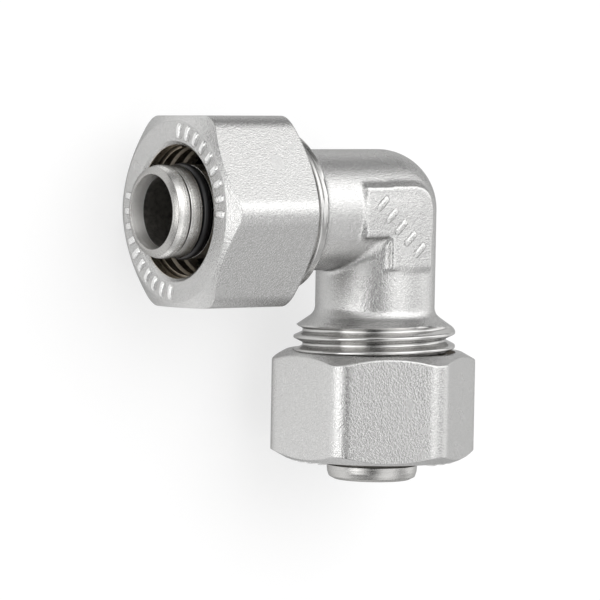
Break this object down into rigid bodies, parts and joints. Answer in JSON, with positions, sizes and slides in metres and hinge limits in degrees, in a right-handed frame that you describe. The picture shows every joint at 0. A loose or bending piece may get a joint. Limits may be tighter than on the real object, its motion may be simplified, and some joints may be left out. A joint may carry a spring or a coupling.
{
  "type": "compression elbow",
  "caption": "Right-angle compression elbow for multilayer pipe: forged plated brass body, turned spigots with sealing rings, and a screwed hex nut over a split ring on each arm.",
  "frame": {"origin": "the point where the centre lines of the two arms cross", "axes": "-X out along the inlet arm, -Y out along the outlet arm, +Z square to both, toward the pad whose marks run across the bend"},
  "size_m": [0.0473, 0.0471, 0.0268],
  "materials": {
    "forged_nickel": "nickel plate on a shot-blasted forging",
    "turned_nickel": "nickel plate on a turned surface",
    "bare_brass": "turned, dull",
    "seal_rubber": "smooth moulded",
    "washer_plastic": "smooth moulded"
  },
  "bodies": {
    "elbow": {"elbow_body": "forged_nickel", "inlet_spigot": "turned_nickel", "outlet_spigot": "turned_nickel", "inlet_front_seal": "seal_rubber", "inlet_rear_seal": "seal_rubber", "inlet_washer": "washer_plastic", "outlet_front_seal": "seal_rubber", "outlet_rear_seal": "seal_rubber", "outlet_washer": "washer_plastic"},
    "inlet_ring": {"inlet_split_ring": "bare_brass"},
    "inlet_nut": {"inlet_nut": "forged_nickel"},
    "outlet_ring": {"outlet_split_ring": "bare_brass"},
    "outlet_nut": {"outlet_nut": "forged_nickel"}
  },
  "joints": [
    {"name": "inlet_travel", "type": "slide", "parent": "elbow", "child": "inlet_ring", "axis": [-1, 0, 0], "range_m": [-0.00182, 0.00364]},
    {"name": "inlet_screw", "type": "hinge", "parent": "inlet_ring", "child": "inlet_nut", "pos_m": [-0.0246, 0, 0], "axis": [-1, 0, 0], "range_deg": [-360, 720]},
    {"name": "outlet_travel", "type": "slide", "parent": "elbow", "child": "outlet_ring", "axis": [0, -1, 0], "range_m": [-0.00182, 0.00364]},
    {"name": "outlet_screw", "type": "hinge", "parent": "outlet_ring", "child": "outlet_nut", "pos_m": [0, -0.02525, 0], "axis": [0, -1, 0], "range_deg": [-360, 720]}
  ],
  "couplings": [
    {"joint": "inlet_travel", "follows": "inlet_screw", "m_per_rad": 0.00028871},
    {"joint": "outlet_travel", "follows": "outlet_screw", "m_per_rad": 0.00028871}
  ]
}
